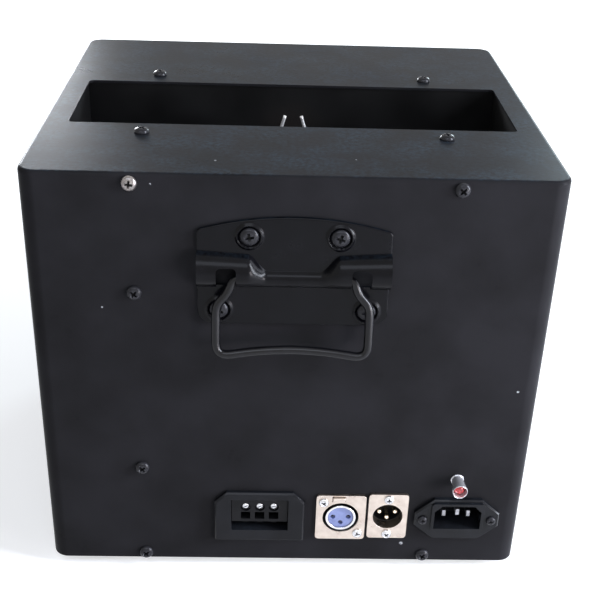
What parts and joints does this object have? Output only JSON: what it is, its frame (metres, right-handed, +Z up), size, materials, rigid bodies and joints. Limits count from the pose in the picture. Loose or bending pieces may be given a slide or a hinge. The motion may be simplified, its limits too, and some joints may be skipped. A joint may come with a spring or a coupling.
{
  "type": "stage flame machine",
  "caption": "Black sheet steel stage flame machine with a long flame slot in its top and a connector wall with a fold-down handle, lamp, sockets and mains inlet.",
  "frame": {"origin": "middle of the base tray's flat underside, on the case's vertical middle line; the rubber feet reach 6 mm below it", "axes": "+X to the right along the connector wall as a person in front of it sees it, -Y out of the connector wall, +Z up out of the flame slot"},
  "size_m": [0.2754, 0.2557, 0.2487],
  "materials": {
    "case_paint": "satin black powder coat",
    "handle_paint": "semi-gloss black paint",
    "black_screw": "black zinc",
    "bright_screw": "bright zinc",
    "zinc_sheet": "zinc plated sheet",
    "burner_sheet": "heat-darkened black steel",
    "nickel_plate": "champagne nickel",
    "chrome": "polished",
    "brass": "turned brass",
    "copper_pipe": "drawn copper",
    "black_moulding": "satin moulding",
    "terminal_moulding": "blue-grey moulding",
    "insert_moulding": "pale blue-grey moulding",
    "red_lens": "clear red",
    "ceramic": "glazed white ceramic",
    "rubber_foot": "black rubber",
    "tinplate": "tinned steel",
    "supply_cage": "brushed aluminium",
    "circuit_board": "green solder mask",
    "silicone_lead": "red silicone"
  },
  "bodies": {
    "case": {"back_bottom_screw_left": "black_screw", "back_bottom_screw_right": "black_screw", "base_tray": "zinc_sheet", "burner_deck": "burner_sheet", "can_clip": "zinc_sheet", "can_valve_adapter": "brass", "column_screw_lower": "black_screw", "column_screw_upper": "black_screw", "control_board": "circuit_board", "cover": "case_paint", "door_hinge": "handle_paint", "door_magnet": "black_moulding", "electrode_block": "ceramic", "electrode_left": "bright_screw", "electrode_right": "bright_screw", "foot_back_left": "rubber_foot", "foot_back_right": "rubber_foot", "foot_front_left": "rubber_foot", "foot_front_right": "rubber_foot", "front_bottom_screw_left": "black_screw", "front_bottom_screw_right": "black_screw", "front_top_screw_left": "bright_screw", "front_top_screw_right": "black_screw", "gas_can": "tinplate", "gas_pipe": "copper_pipe", "gas_valve": "brass", "handle_plate": "handle_paint", "handle_screw_lower_left": "black_screw", "handle_screw_lower_right": "black_screw", "handle_screw_upper_left": "black_screw", "handle_screw_upper_right": "black_screw", "ignition_lead_left": "silicone_lead", "ignition_lead_right": "silicone_lead", "ignition_module": "black_moulding", "inlet_screw_left": "black_screw", "inlet_screw_right": "black_screw", "input_plug_insert": "black_moulding", "input_plug_screw_lower": "bright_screw", "input_plug_screw_upper": "bright_screw", "input_plug_shell": "nickel_plate", "lamp_bezel": "chrome", "lamp_lens": "red_lens", "mains_inlet": "black_moulding", "nozzle": "brass", "output_socket_insert": "insert_moulding", "output_socket_screw_lower": "bright_screw", "output_socket_screw_upper": "bright_screw", "output_socket_shell": "nickel_plate", "partition": "zinc_sheet", "power_supply": "supply_cage", "terminal_block": "terminal_moulding", "terminal_frame": "black_moulding", "top_screw_far_left": "black_screw", "top_screw_far_right": "black_screw", "top_screw_near_left": "black_screw", "top_screw_near_right": "black_screw"},
    "bail": {"handle_bail": "handle_paint"},
    "latch": {"output_socket_latch": "nickel_plate"},
    "plunger": {"valve_plunger": "bright_screw"},
    "door": {"can_door": "case_paint"}
  },
  "joints": [
    {"name": "bail_hinge", "type": "hinge", "parent": "case", "child": "bail", "pos_m": [0, -0.1242, 0.1869], "axis": [-1, 0, 0], "range_deg": [0, 82]},
    {"name": "latch_slide", "type": "slide", "parent": "case", "child": "latch", "axis": [0, 1, 0], "range_m": [0, 0.0014], "stiffness_N_per_m": 500, "springref_m": -0.001},
    {"name": "plunger_slide", "type": "slide", "parent": "case", "child": "plunger", "axis": [0, 0, -1], "range_m": [0, 0.0025], "stiffness_N_per_m": 400, "springref_m": -0.002},
    {"name": "door_hinge_pin", "type": "hinge", "parent": "case", "child": "door", "pos_m": [-0.1378, 0.026, 0], "axis": [0, 0, 1], "range_deg": [0, 110]}
  ]
}
